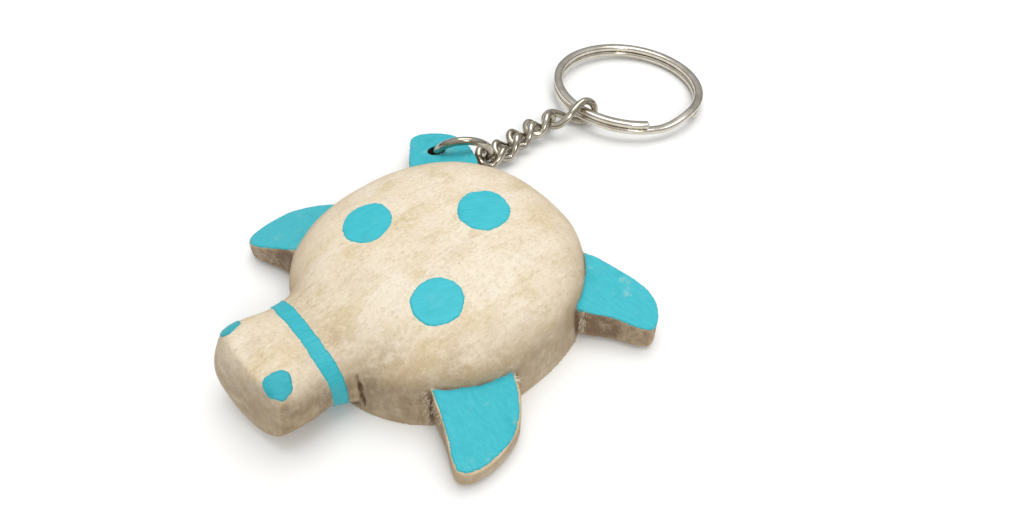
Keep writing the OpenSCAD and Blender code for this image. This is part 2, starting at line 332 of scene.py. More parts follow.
def shell_depth(p):
    """How far each point is inside the shell's wall, seen from above, in mm; negative outside."""
    x, y = p[:, 0] / SHELL_HALF_W, p[:, 1] / SHELL_HALF_L
    t = np.arctan2(spow(y, PLAN_POWER / 2), spow(x, PLAN_POWER / 2))
    k = 1 - CARVED_FLAT * np.maximum(0, np.cos(t - FLAT_ANGLE)) ** 2
    r = (np.abs(x) ** PLAN_POWER + np.abs(y) ** PLAN_POWER) ** (1 / PLAN_POWER)
    return (1 - r / k) * np.hypot(p[:, 0], p[:, 1]) / r.clip(1e-6)


def carve_plane(p, at, normal, softness):
    """Pares off what stands out beyond a plane, with a rounded edge where the cut meets the rest."""
    n = np.array(normal, float) / np.linalg.norm(normal)
    over = (p - np.array(at, float)) @ n
    cut = softness * np.logaddexp(0, over / softness)
    return p - cut[:, None] * n


def fair_neck(p, edges):
    """Blends the top of the neck into the shell with a wide hollow."""
    # only the points about the neck's top move, and least at the edge of that region
    near = (np.abs(p[:, 0]) < 9.5) & (p[:, 1] > -19.5) & (p[:, 1] < -11.0) & (p[:, 2] > 3.5)
    index = np.full(len(p), -1)
    index[near] = np.arange(near.sum())
    local = index[edges]
    local = local[(local >= 0).all(axis=1)]
    q = p[near]
    share = (0.5 * ramp(q[:, 2], 4.5, 8.0) * ramp(q[:, 1], -19.3, -18.0) * (1 - ramp(q[:, 1], -13.5, -11.5))
             * (1 - ramp(np.abs(q[:, 0]), 7.5, 9.0)))[:, None]
    for _ in range(FAIRING_STEPS):
        q = q + share * (neighbour_mean(q, local) - q)
    p = p.copy()
    p[near] = q
    return p


def remeshed(obj):
    """Fuses the overlapping bodies of an object into one skin of small even faces."""
    remesh = obj.modifiers.new("remesh", "REMESH")
    remesh.mode, remesh.voxel_size, remesh.adaptivity = "VOXEL", VOXEL * MM, 0.0
    bpy.context.view_layer.update()
    fine = bpy.data.meshes.new_from_object(obj.evaluated_get(bpy.context.evaluated_depsgraph_get()))
    obj.modifiers.clear()
    obj.data = fine
    return fine


def carve_head(p):
    """Pares the head flat in front, on its left cheek and on the crown."""
    flat = p
    for at, normal in HEAD_FLATS:
        flat = carve_plane(flat, at, normal, FLAT_SOFTNESS)
    return p + ramp(p[:, 1], -19.5, -22.5)[:, None] * (flat - p)


def hand_work(p, n):
    """How far each point stands out of the smooth shape, in mm."""
    # wide shallow knife flats, stronger on the walls than on the dome, and fine scraping
    wall = 1 - ramp(n[:, 2], 0.3, 0.8)
    depth = 0.10 * noise(p, (3.2, 3.2, 7.0), 11) * wall + 0.06 * noise(p, (6.0, 9.0, 6.0), 12) - 0.06
    depth += 0.012 * noise(p, (0.5, 1.2, 0.5), 13, 2)
    # the saw and knife cuts at the roots
    wander = 0.25 * noise(p * (0, 0, 1), (9, 9, 1.6), 14)
    for x, y, z0, z1, width, deep in NOTCHES:
        near = np.exp(-((p[:, 0] - x - wander) ** 2 + (p[:, 1] - y) ** 2) / width ** 2)
        depth -= deep * near * np.sin(np.pi * np.clip((p[:, 2] - z0) / (z1 - z0), 0, 1))
    # the belly stays flat
    return np.where(p[:, 2] < 0.25, np.minimum(depth, 0) * 0.3, depth)


def store_wear_and_shade(mesh, p, n, edges):
    """Keeps for the material where the wood is hollow, drilled, dirty, rubbed or without whitewash, and
    where painted shade goes: in hollows, in the hole, at the roots and on the walls.
    """
    # painted shade for hollows: how far each point lies below its smoothed neighbours
    hollow = ((relax(p, edges, 40) - p) * n).sum(1)
    # the drilled hole is marked for full painted shade
    in_hole = (np.hypot(*(p[:, :2] - HOLE_AT).T) < HOLE_R + 0.15) & (n[:, 2] < 0.6)
    attribute(mesh, "hollow", np.where(in_hole, 1.0, np.clip(hollow / 0.12, 0, 1)))
    attribute(mesh, "bore", in_hole)
    # real handling dirt and, at the flipper and neck roots, painted shade
    dirt_and_shade = [w * np.exp(-((p - np.array(at)) ** 2).sum(1) / r ** 2) for at, r, w in DIRT_AND_ROOT_SHADE]
    attribute(mesh, "dirt_and_shade", np.max(dirt_and_shade, axis=0))
    attribute(mesh, "edge", np.clip(-hollow / 0.12, 0, 1))
    # the flippers' sides are the barest, the shell's wall less so, and the neck counts as wall; this mask
    # darkens the walls both as bare wood and as painted shade
    outside = -shell_depth(p)
    at_neck = (1 - ramp(np.abs(p[:, 0]), 8.0, 10.0)) * ramp(-p[:, 1], 14.0, 15.5)
    body_side = 0.36 + 0.20 * ramp(-p[:, 1], 6.0, 14.0)
    # painted shade on the head: faces turned towards +x darken more, the rest less
    body_side += (0.25 * ramp(n[:, 0], 0.3, 0.8) - 0.14) * ramp(-p[:, 1], 17.0, 19.0)
    flipper_side = 1.25 - 0.5 * ramp(outside, 1.0, 7.5)
    on_front_left = (p[:, 0] > 0) & (p[:, 1] < 0)
    flipper_side *= np.where(on_front_left, 0.5, 1.0)
    on_flipper = ramp(outside, 0.8, 1.3) * (1 - at_neck)
    attribute(mesh, "bare", body_side + (flipper_side - body_side) * on_flipper)


def wooden_block():
    parts = [shell_mesh(), head_mesh()]
    parts += [flipper_mesh(*spec[:5], name == "hind_right") for name, spec in FLIPPERS.items()]
    obj = new_object("carved_turtle", *joined(parts))
    mesh = remeshed(obj)
    edges = edges_of(mesh)
    p = carve_head(relax(points_of(mesh), edges, 4))
    p = fair_neck(relax(p, edges, 1), edges)
    set_points(mesh, p)
    n = normals_of(mesh)
    p = p + hand_work(p, n)[:, None] * n
    p[:, 2] = np.maximum(p[:, 2], 0.0)
    set_points(mesh, p)
    store_wear_and_shade(mesh, p, normals_of(mesh), edges)
    shade_smooth(obj)
    return obj


# --- paint ------------------------------------------------------------------------------
PAINT_THICKNESS, PAINT_SINK, PAINT_UNDER = 0.09, 0.05, 0.10


def boundary(faces):
    """The edges that only one face has."""
    rim = {}
    for f in faces:
        for a, b in zip(f, f[1:] + f[:1]):
            if (b, a) in rim:
                del rim[(b, a)]
            else:
                rim[(a, b)] = True
    return list(rim)


def painted_sheet(name, wood, inside):
    """The wood's faces where inside(p, n) is positive or nearly so, each split in four."""
    p, n = points_of(wood.data), normals_of(wood.data)
    depth = inside(p, n)
    keep = depth > -0.35
    corners = [tuple(f.vertices) for f in wood.data.polygons if all(keep[i] for i in f.vertices)]
    used = np.unique(np.array([i for f in corners for i in f]))
    index = {int(v): k for k, v in enumerate(used)}
    mesh = new_mesh(name + "_sheet", p[used], [tuple(index[i] for i in f) for f in corners])
    attribute(mesh, "depth", depth[used])
    for k, axis in enumerate("xyz"):
        attribute(mesh, "n" + axis, n[used][:, k])
    bm = bmesh.new()
    bm.from_mesh(mesh)
    bmesh.ops.subdivide_edges(bm, edges=bm.edges, cuts=1, use_grid_fill=True)
    bm.to_mesh(mesh)
    bm.free()
    return mesh


def paint_coat(name, wood, inside, streaks):
    """A closed coat over the wood where inside(p, n) is positive; its ragged rim dips into the wood."""
    mesh = painted_sheet(name, wood, inside)
    p = points_of(mesh)
    normal = unit(np.stack([attribute_of(mesh, "n" + axis) for axis in "xyz"], 1))
    depth = attribute_of(mesh, "depth") + 0.07 * noise(p, 0.5, 31, 2) + 0.05 * noise(p, 0.22, 32)
    height = -PAINT_SINK + (PAINT_THICKNESS + PAINT_SINK) * ramp(depth, -0.08, 0.16)
    brushed = 0.008 * noise(p, streaks, 33, 2)
    thick_edge = 0.02 * np.exp(-((depth - 0.25) / 0.15) ** 2)
    height += (brushed + thick_edge) * ramp(depth, 0.0, 0.2)
    faces = [tuple(f.vertices) for f in mesh.polygons]
    count = len(p)
    walls = [(b, a, a + count, b + count) for a, b in boundary(faces)]
    under = [tuple(i + count for i in reversed(f)) for f in faces]
    top = p + height[:, None] * normal
    below = p - PAINT_UNDER * normal
    both = np.concatenate([top, np.where((below[:, 2:] < 0.02), top - 0.02, below)])
    coat = new_object(name, both, faces + under + walls)
    attribute(coat.data, "depth", np.concatenate([depth, depth]))
    shade_smooth(coat)
    return coat


def wobble(p, centre, radius, stretch, heading, seed):
    """How far each point is inside a hand-painted round spot, seen from above, in mm."""
    d = p[:, :2] - centre
    way = np.array([np.cos(np.radians(heading)), np.sin(np.radians(heading))])
    d = d + ((1 / stretch - 1) * (d @ way))[:, None] * way
    t = np.arctan2(d[:, 1], d[:, 0])
    uneven = 0.018 * np.cos(2 * t + seed) + 0.014 * np.cos(5 * t + 2.1 * seed) + 0.006 * np.cos(9 * t + seed)
    return radius * (1 + uneven) - np.hypot(d[:, 0], d[:, 1])


def in_spots(p, n):
    """Depth inside the nearest shell spot. Each in_ function takes points and normals, n used or not."""
    depth = np.max([wobble(p, np.array(c), r, stretch, heading, 1.7 * k + 0.9)
                    for k, (c, r, stretch, heading) in enumerate(SPOTS)], axis=0)
    return np.where(p[:, 2] > 6, depth, -1)


def in_eyes(p, n):
    """Depth inside the nearer eye."""
    depth = []
    for k, (centre, radius) in enumerate(EYES):
        d = p - np.array(centre)
        t = np.arctan2(d[:, 1], d[:, 0])
        uneven = 0.05 * np.cos(3 * t + k) + 0.04 * np.cos(5 * t + 2)
        depth.append(radius * (1 + uneven) - np.linalg.norm(d, axis=1))
    return np.max(depth, axis=0)


def in_collar(p, n):
    """Depth inside the band round the neck, which ends just above the floor."""
    y = p[:, 1] - COLLAR_Y + COLLAR_SKEW * p[:, 0] + 0.12 * noise(p, 4.0, 41)
    half = COLLAR_W / 2 + 0.09 * noise(p, 1.8, 42)
    depth = np.minimum(half - np.abs(y), p[:, 2] - 0.5)
    return np.where((np.abs(p[:, 0]) < 9) & (p[:, 1] < -15), depth, -1)


def in_flippers(p, n):
    """Depth inside the flippers' tops, from a bare rim to the shell's wall."""
    best = np.full(len(p), -1.0)
    wall = -shell_depth(p) + 0.08 + 0.14 * noise(p, 1.4, 52, 2)
    for outline, side, root_z, tip_z, _, bare in FLIPPERS.values():
        near = (side * p[:, 0] > 9) & (np.sign(p[:, 1]) == np.sign(np.mean([y for _, y in outline])))
        q = p[near]
        rim = outline_depth(q, outline) - bare + (0.06 + 0.15 * bare) * noise(q, 1.5, 51)
        top = flipper_top(q[:, 0], side, root_z, tip_z)
        depth = np.minimum(np.minimum(rim, wall[near]), np.minimum(q[:, 2] - top + 0.5, top + 0.3 - q[:, 2]))
        on_top = (n[near][:, 2] > 0.3) | ((wall[near] < 0.9) & (q[:, 2] > top - 0.5))
        best[near] = np.maximum(best[near], np.where(on_top, depth, np.minimum(depth, -0.1)))
    return best


# --- torn fibres ----------------------------------------------------------------------------
# middle, spread, heading, how many, length: where the saw left hairs at the flippers' roots
TORN = [((13.4, -13.1, 3.0), (0.35, 0.35, 2.6), (0.45, -0.85, 0.1), 60, 0.7),
        ((14.9, -13.4, 4.9), (1.2, 0.4, 0.5), (0.5, -0.6, 0.5), 12, 0.6),
        ((17.9, -3.6, 5.2), (0.6, 0.4, 0.6), (0.8, 0.5, 0.2), 12, 0.7),
        ((16.8, 7.9, 2.8), (0.35, 0.3, 2.2), (0.7, -0.7, 0.1), 34, 0.8),
        ((-17.6, 8.3, 2.6), (0.4, 0.3, 1.8), (-0.7, -0.7, 0.1), 10, 0.7)]


def torn_fibres(wood, sides=6, joints=6):
    """Tapered, bent hairs of wood rooted in the block."""
    rng = np.random.default_rng(11)
    tree = KDTree(len(wood.data.vertices))
    p = points_of(wood.data)
    for i, point in enumerate(p):
        tree.insert(point, i)
    tree.balance()
    t = 2 * np.pi * np.arange(sides) / sides
    parts = []
    for middle, spread, heading, count, length in TORN:
        for _ in range(count):
            root = p[tree.find(np.array(middle) + rng.normal(0, 0.5, 3) * spread)[1]]
            way = unit(unit(np.array(heading)) + rng.normal(0, 0.35, 3))
            bend = rng.normal(0, 0.35, 3)
            far, thick = length * rng.uniform(0.4, 1.2), rng.uniform(0.05, 0.10)
            rings = []
            for k in range(joints):
                u = k / (joints - 1)
                along = unit(way + bend * u)
                side = unit(np.cross(along, (0.3, 0.2, 0.9)))
                centre = root - 0.2 * way + (far + 0.2) * u * unit(way + 0.5 * bend * u)
                centre[2] = max(centre[2], 0.12)
                r = thick * (1 - 0.85 * u)
                rings.append(centre + r * (np.cos(t)[:, None] * side
                                           + 0.6 * np.sin(t)[:, None] * np.cross(along, side)))
            parts.append(skin(rings))
    return new_object("torn_fibres", *joined(parts))


# --- materials ----------------------------------------------------------------------------
def srgb(r, g, b):
    c = np.array([r, g, b]) / 255
    return tuple(np.where(c <= 0.04045, c / 12.92, ((c + 0.055) / 1.055) ** 2.4)) + (1.0,)


WHITEWASH, CREAM_WOOD, OCHRE_WOOD = srgb(243, 230, 208), srgb(231, 212, 181), srgb(208, 188, 134)
GREY_BLOOM, DARK_GRAIN, DARK_FIBRE = srgb(214, 207, 196), srgb(203, 182, 142), srgb(176, 156, 124)
PALE_FIBRE, DARK_SPECKLE, PALE_SPECKLE = srgb(246, 240, 228), srgb(180, 160, 126), srgb(250, 246, 238)
# the first colour below is handling dirt with painted shade at the flipper and neck roots
# the second colour below is painted shade for the dome's lower shoulder
DIRT_AND_SHADE_BROWN, LOW_DOME_SHADE, PORE = srgb(168, 142, 98), srgb(192, 170, 136), srgb(140, 120, 92)
# the first colour below is bare wood with painted shade for the walls
# the second colour below is painted shade for corners and creases
BARE_WALL_AND_SHADE, CORNER_SHADE, RUBBED_EDGE = srgb(126, 102, 78), srgb(112, 88, 62), srgb(214, 186, 140)
# the first colour below is painted shade for the inside of the drilled hole
BORE_SHADE, TORN_WOOD = srgb(66, 48, 34), srgb(238, 228, 210)
# the chain's nickel tones below are painted darker than the ring's, as painted dark reflection
CHAIN_SHADED_BRIGHT, CHAIN_SHADED_DULL = srgb(196, 189, 174), srgb(158, 150, 134)
RING_BRIGHT, RING_DULL = srgb(220, 214, 202), srgb(200, 192, 177)


def material(name):
    mat = bpy.data.materials.new(name)
    mat.use_nodes = True
    tree = mat.node_tree
    shader = tree.nodes["Principled BSDF"]
    coords = tree.nodes.new("ShaderNodeTexCoord").outputs["Object"]
    return mat, tree, shader, coords


def node(tree, kind, inputs=None, **settings):
    made = tree.nodes.new(kind)
    for key, value in settings.items():
        setattr(made, key, value)
    for key, value in (inputs or {}).items():
        if isinstance(value, bpy.types.NodeSocket):
            tree.links.new(value, made.inputs[key])
        else:
            made.inputs[key].default_value = value
    return made


def mapped(tree, vector, scale, rotation=(0, 0, 0)):
    inputs = {"Vector": vector, "Scale": scale, "Rotation": rotation}
    return node(tree, "ShaderNodeMapping", inputs).outputs[0]


def scaled(tree, coords, scale, rotation=(0, 0, 0)):
    """Coordinates with scale cells to a millimetre along each axis, after a turn."""
    turned = node(tree, "ShaderNodeMapping", {"Vector": coords, "Rotation": rotation}).outputs[0]
    return mapped(tree, turned, tuple(s / MM for s in scale))


def texture(tree, vector, detail=3.0, rough=0.55):
    inputs = {"Vector": vector, "Scale": 1.0, "Detail": detail, "Roughness": rough}
    return node(tree, "ShaderNodeTexNoise", inputs).outputs["Fac"]


def patches(tree, coords, scale, detail=3.0, rough=0.55):
    """Noise with scale cells to a millimetre along each axis."""
    return texture(tree, scaled(tree, coords, scale), detail, rough)


def band(tree, value, low, high, out_low=0.0, out_high=1.0):
    """out_low where the value is at low, out_high where it is at high, and smooth between."""
    inputs = {"Value": value, "From Min": low, "From Max": high, "To Min": out_low, "To Max": out_high}
    return node(tree, "ShaderNodeMapRange", inputs, interpolation_type="SMOOTHSTEP").outputs[0]


def mix(tree, factor, a, b):
    made = node(tree, "ShaderNodeMix", data_type="RGBA")
    for key, value in ((0, factor), (6, a), (7, b)):
        if isinstance(value, bpy.types.NodeSocket):
            tree.links.new(value, made.inputs[key])
        else:
            made.inputs[key].default_value = value
    return made.outputs[2]


def maths(tree, kind, a, b):
    return node(tree, "ShaderNodeMath", {0: a, 1: b}, operation=kind).outputs[0]


def stored(tree, name):
    return node(tree, "ShaderNodeAttribute", attribute_name=name).outputs["Fac"]


def height_part(tree, vector):
    return node(tree, "ShaderNodeSeparateXYZ", {0: vector}).outputs[2]


def bumped(tree, shader, height, strength, distance_mm):
    inputs = {"Height": height, "Strength": strength, "Distance": distance_mm * MM}
    tree.links.new(node(tree, "ShaderNodeBump", inputs).outputs[0], shader.inputs["Normal"])


def bent_grain(tree, coords):
    """Coordinates in mm that wander slowly, so that the grain is not straight."""
    inputs = {"Vector": scaled(tree, coords, (0.06, 0.04, 0.06)), "Scale": 1.0}
    drift = node(tree, "ShaderNodeTexNoise", inputs)
    shift = node(tree, "ShaderNodeVectorMath", {0: drift.outputs["Color"], "Scale": 3.0}, operation="SCALE")
    inputs = {0: scaled(tree, coords, (1, 1, 1)), 1: shift.outputs[0]}
    return node(tree, "ShaderNodeVectorMath", inputs, operation="ADD").outputs[0]


def washed_colour(tree, coords, bent, lines, fibres, grain):
    """The whitewashed crown: cream, ochre and grey clouds, growth lines, fibres and pores, with dirt and
    painted shade.
    """
    colour = mix(tree, band(tree, patches(tree, coords, (0.16, 0.10, 0.16), 4), 0.35, 0.68),
                 WHITEWASH, CREAM_WOOD)
    colour = mix(tree, band(tree, patches(tree, coords, (0.30, 0.22, 0.30), 5, 0.6), 0.50, 0.72, 0, 0.55),
                 colour, OCHRE_WOOD)
    colour = mix(tree, band(tree, patches(tree, coords, (0.22, 0.12, 0.2), 4), 0.52, 0.74, 0, 0.3),
                 colour, GREY_BLOOM)
    colour = mix(tree, band(tree, texture(tree, lines, 4, 0.6), 0.50, 0.72, 0, 0.30), colour, DARK_GRAIN)
    colour = mix(tree, band(tree, texture(tree, fibres, 5, 0.7), 0.54, 0.78, 0, 0.30), colour, DARK_FIBRE)
    colour = mix(tree, band(tree, texture(tree, fibres, 4, 0.65), 0.30, 0.46, 0.35, 0), colour, PALE_FIBRE)
    colour = mix(tree, band(tree, grain, 0.50, 0.66, 0, 0.55), colour, DARK_SPECKLE)
    colour = mix(tree, band(tree, grain, 0.34, 0.48, 0.60, 0), colour, PALE_SPECKLE)
    # handling dirt, and painted shade at the flipper and neck roots
    dirt_and_shade = maths(tree, "MULTIPLY", stored(tree, "dirt_and_shade"),
                 band(tree, patches(tree, coords, (0.8, 0.8, 0.8), 7, 0.75), 0.38, 0.62, 0.0, 0.75))
    colour = mix(tree, dirt_and_shade, colour, DIRT_AND_SHADE_BROWN)
    # painted shade: the dome is darker, in patches, down its lower shoulder than on the crown
    low = band(tree, height_part(tree, coords), 11.2 * MM, 6.5 * MM, 0.0, 0.85)
    patchy = band(tree, patches(tree, coords, (0.35, 0.35, 0.6), 5, 0.65), 0.3, 0.65, 0.4, 1.0)
    colour = mix(tree, maths(tree, "MULTIPLY", low, patchy), colour, LOW_DOME_SHADE)
    pores = texture(tree, mapped(tree, bent, (5, 1.3, 5)), 2, 0.5)
    return mix(tree, band(tree, pores, 0.70, 0.80, 0, 0.5), colour, PORE)


def wall_colour(tree, coords, colour):
    """Walls darken as bare wood and as painted shade, corners and the drilled hole get painted shade, and
    the edges are rubbed.
    """
    up = height_part(tree, node(tree, "ShaderNodeNewGeometry").outputs["Normal"])
    # bare wood and painted shade: faces turned away from straight up darken where the bare mask is high
    wall = maths(tree, "MULTIPLY", band(tree, up, 0.95, 0.0), stored(tree, "bare"))
    patchy = band(tree, patches(tree, coords, (0.8, 0.8, 0.5), 8, 0.8), 0.38, 0.60, 0.55, 1.15)
    colour = mix(tree, maths(tree, "MULTIPLY", wall, patchy), colour, BARE_WALL_AND_SHADE)
    patchy = band(tree, patches(tree, coords, (0.9, 0.9, 0.9), 4), 0.25, 0.6, 0.45, 1.0)
    # painted shade in corners, creases and the hole
    colour = mix(tree, maths(tree, "MULTIPLY", stored(tree, "hollow"), patchy), colour, CORNER_SHADE)
    colour = mix(tree, maths(tree, "MULTIPLY", stored(tree, "edge"), 0.35), colour, RUBBED_EDGE)
    # painted shade: the inside of the drilled hole is made dark
    return mix(tree, stored(tree, "bore"), colour, BORE_SHADE)


def wood_material(name, torn):
    """Grained, whitewashed and handled wood with painted shade; torn is how much pale torn wood shows."""
    mat, tree, shader, coords = material(name)
    bent = bent_grain(tree, coords)
    lines = mapped(tree, bent, (1.1, 0.10, 0.8), (0, 0, 0.18))
    fibres = mapped(tree, bent, (3.4, 0.6, 3.0), (0, 0, 0.10))
    grain = patches(tree, coords, (2.6, 1.7, 2.6), 8, 0.85)
    colour = washed_colour(tree, coords, bent, lines, fibres, grain)
    colour = wall_colour(tree, coords, colour)
    tree.links.new(mix(tree, torn, colour, TORN_WOOD), shader.inputs["Base Color"])
    tree.links.new(band(tree, texture(tree, fibres), 0.3, 0.7, 0.55, 0.72), shader.inputs["Roughness"])
    shader.inputs["Specular IOR Level"].default_value = 0.35
    height = grain
    for rough, share in ((texture(tree, fibres, 6, 0.7), 0.7), (texture(tree, lines, 6, 0.65), 0.5),
                         (patches(tree, coords, (1.6, 1.0, 1.6), 5, 0.7), 0.9)):
        height = maths(tree, "ADD", height, maths(tree, "MULTIPLY", rough, share))
    bumped(tree, shader, height, 0.8, 0.12)
    return mat


def paint_material(name, angle, wear, relief, shade_factor):
    """Brushed acrylic; the strokes run at angle, wear is how much wood shows through, and the last argument
    darkens this coat's copy of the turquoise as painted shade.
    """
    def shade(r, g, b):
        return tuple(c * shade_factor for c in srgb(r, g, b)[:3]) + (1.0,)

    mat, tree, shader, coords = material(name)
    brush = texture(tree, scaled(tree, coords, (0.35, 3.2, 3.2), (0, 0, -angle)), 4, 0.6)
    colour = mix(tree, band(tree, brush, 0.30, 0.72), shade(58, 184, 197), shade(72, 195, 207))
    colour = mix(tree, band(tree, patches(tree, coords, (0.3, 0.3, 0.3), 4), 0.55, 0.72, 0, 0.5),
                 colour, shade(42, 174, 184))
    worn = patches(tree, coords, (0.55, 0.4, 0.5), 6, 0.68)
    colour = mix(tree, band(tree, worn, 0.56, 0.74, 0, wear), colour, srgb(176, 200, 186))
    colour = mix(tree, band(tree, stored(tree, "depth"), 0.28, 0.0, 0, 0.35), colour, shade(38, 150, 160))
    tree.links.new(colour, shader.inputs["Base Color"])
    tree.links.new(band(tree, brush, 0.3, 0.7, 0.42, 0.56), shader.inputs["Roughness"])
    shader.inputs["Specular IOR Level"].default_value = 0.22
    stipple = maths(tree, "MULTIPLY", patches(tree, coords, (2.5, 2.5, 2.5), 4), 0.4)
    bumped(tree, shader, maths(tree, "ADD", brush, stipple), relief, 0.08)
    return mat


def nickel_material(name, bright, dull):
    """Worn nickel plate, clouded between a bright and a dull tone."""
    mat, tree, shader, coords = material(name)
    cloud = band(tree, patches(tree, coords, (0.5, 0.5, 0.5), 4), 0.3, 0.7)
    tree.links.new(mix(tree, cloud, bright, dull), shader.inputs["Base Color"])
    shader.inputs["Metallic"].default_value = 1.0
    smear = band(tree, patches(tree, coords, (2.0, 2.0, 2.0), 5, 0.6), 0.3, 0.7, 0.10, 0.22)
    tree.links.new(smear, shader.inputs["Roughness"])
    bumped(tree, shader, patches(tree, coords, (1.4, 1.4, 1.4)), 0.25, 0.06)
    return mat


# --- metal ----------------------------------------------------------------------------------
# the chain's links touch at points spaced and headed as given, from the jump ring to the split ring
LINK_WIRE, LINK_PLAY = 1.15, 0.25
HALF_WIDTHS = [1.52, 1.52, 1.52, 1.52, 2.03]
CONTACT_START, HEADINGS = (-14.81, 19.9), [90, 99, 93, 85, 63]
SPANS, CONTACT_Z = [3.52, 3.64, 3.64, 3.64, 6.85], [2.84, 1.98, 1.99, 2.09, 2.25, 3.0]
ROLLS, END_TWIST, TWIST_RUNS = [6, 16, 26, 36, 48], np.radians(45), [1.6, 1.6, 1.6, 1.6, 3.2]
JUMP_WIRE, JUMP_R, JUMP_HEADING, JUMP_LEAN, JUMP_GAP = 1.2, 3.9, 52.6, 24, 4
RING_OD, RING_W, RING_H, TURN_GAP = 25.0, 1.4, 1.05, 0.05
RING_AT, RING_TILT, RING_END, RAMP_FROM, RAMP_TO = (-13.24, 50.9, 2.04), -3.7, -34, 9, 44


def contacts():
    """The points where neighbours in the chain meet, in mm."""
    out = [np.array([*CONTACT_START, CONTACT_Z[0]])]
    for span, heading, z in zip(SPANS, np.radians(HEADINGS), CONTACT_Z[1:]):
        out.append(np.array([out[-1][0] + span * np.cos(heading), out[-1][1] + span * np.sin(heading), z]))
    return out


def stadium(q, st, b):
    """A point on a stadium with straights of 2 * st and ends of radius b, at arc length q."""
    q1 = np.pi * b / 2
    q2, q3, q4 = q1 + 2 * st, q1 + 2 * st + np.pi * b, q1 + 4 * st + np.pi * b
    if q < q1:
        return st + b * np.cos(q / b), b * np.sin(q / b)
    if q < q2:
        return st - (q - q1), b
    if q < q3:
        return -st - b * np.sin((q - q2) / b), b * np.cos((q - q2) / b)
    if q < q4:
        return -st + (q - q3), -b
    return st + b * np.sin((q - q4) / b), -b * np.cos((q - q4) / b)


def chain_link(name, a, b, half_width, roll, run, steps=120, sides=28):
    """A wire loop from contact a to contact b, rolled about that line and twisted over run mm."""
    e = unit(b - a)
    half_l = (np.linalg.norm(b - a) + LINK_WIRE + LINK_PLAY) / 2
    level = unit(np.cross(e, [0, 0, 1]))
    w = level * np.cos(roll) + np.cross(level, e) * np.sin(roll)
    n = np.cross(w, e)
    st = half_l - half_width
    around = 2 * np.pi * half_width + 4 * st
    line = []
    for i in range(steps):
        x, y = stadium(around * i / steps, st, half_width)
        u = np.clip(x / run, -1, 1)
        twist = END_TWIST * u * (1.5 - 0.5 * u * u)
        line.append((a + b) / 2 + x * e + y * np.cos(twist) * w + y * np.sin(twist) * n)
    line = np.array(line)
    for _ in range(2):  # a drawn wire has no sudden turns
        line = 0.5 * line + 0.25 * (np.roll(line, 1, 0) + np.roll(line, -1, 0))
    t = np.arange(sides) * 2 * np.pi / sides
    rings = []
    for i in range(steps):
        along = unit(line[(i + 1) % steps] - line[i - 1])
        side = line[i] - (a + b) / 2
        u = unit(side - (side @ along) * along)
        v = np.cross(along, u)
        rings.append(line[i] + LINK_WIRE / 2 * (np.cos(t)[:, None] * u + np.sin(t)[:, None] * v))
    return new_object(name, *skin(rings, looped=True))


def jump_ring(sides=32):
    """The leaning ring through the drilled flipper, cut at its lowest point."""
    heading, lean = np.radians(JUMP_HEADING), np.radians(JUMP_LEAN)
    z = JUMP_R * np.cos(lean) + JUMP_WIRE / 2
    drop = (z - (DRILLED_UNDERSIDE + 4.5) / 2) / np.cos(lean)
    reach = np.sqrt(JUMP_R ** 2 - drop ** 2)
    centre = np.array([HOLE_AT[0] + reach * np.cos(heading) + drop * np.sin(lean) * np.sin(heading),
                       HOLE_AT[1] + reach * np.sin(heading) - drop * np.sin(lean) * np.cos(heading), z])
    u = np.array([np.cos(heading), np.sin(heading), 0])
    v = np.array([np.sin(lean) * np.sin(heading), -np.sin(lean) * np.cos(heading), np.cos(lean)])
    axis = np.cross(u, v)
    start = np.radians(-90 + JUMP_GAP / 2)
    t = 2 * np.pi * np.arange(sides) / sides
    rings = []
    # along the wire in radians, and the share of its thickness, less at the bevelled cut ends
    stations = [(0.0, 0.80), (0.010, 1.0)] + [(s, 1.0) for s in np.linspace(0.03, 6.18, 118)]
    full = 2 * np.pi - np.radians(JUMP_GAP)
    stations = [(s, k) for s, k in stations if s < full - 0.03] + [(full - 0.010, 1.0), (full, 0.80)]
    for s, k in stations:
        out = np.cos(start + s) * u + np.sin(start + s) * v
        section = np.cos(t)[:, None] * out + np.sin(t)[:, None] * axis
        rings.append(centre + JUMP_R * out + k * JUMP_WIRE / 2 * section)
    return new_object("jump_ring_wire", *skin(rings))


def split_ring(sides=28, step=2.0):
    """Nearly two flat turns of wire, the second lifted over the first by a short ramp."""
    first, last = RAMP_TO + 2, 720
    count = int((last - first) / step)
    t = -2 * np.pi * (np.arange(sides) + 0.5) / sides
    section = np.stack([spow(np.cos(t), 0.72), spow(np.sin(t), 0.72)], 1)
    tilt = np.radians(RING_TILT)
    turn_x = np.array([[1, 0, 0], [0, np.cos(tilt), -np.sin(tilt)], [0, np.sin(tilt), np.cos(tilt)]])
    rings = []
    angles = [(first, 0.82), (first + 0.5, 1.0)]
    angles += [(first + 1 + (last - first - 2) * i / count, 1.0) for i in range(count + 1)]
    angles += [(last - 0.5, 1.0), (last, 0.82)]
    for a, k in angles:
        u = np.clip((a - 360 - RAMP_FROM) / (RAMP_TO - RAMP_FROM), 0, 1)
        z = RING_H * (u * u * (3 - 2 * u) - 0.5)
        angle = np.radians(RING_END + a)
        r = RING_OD / 2 - RING_W / 2 + k * RING_W / 2 * section[:, 0]
        z = z + k * (RING_H - TURN_GAP) / 2 * section[:, 1]
        ring = np.stack([r * np.cos(angle), r * np.sin(angle), z], 1)
        rings.append(ring @ turn_x.T + np.array(RING_AT))
    return new_object("key_split_ring", *skin(rings))


def dress(obj, mat, body, cad_node):
    """Gives a piece its material, hides the CAD node it stands for and attaches it to the body it moves
    with.
    """
    obj.data.materials.clear()
    obj.data.materials.append(mat)
    shade_smooth(obj)
    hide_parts(cad_node)
    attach(obj, body)


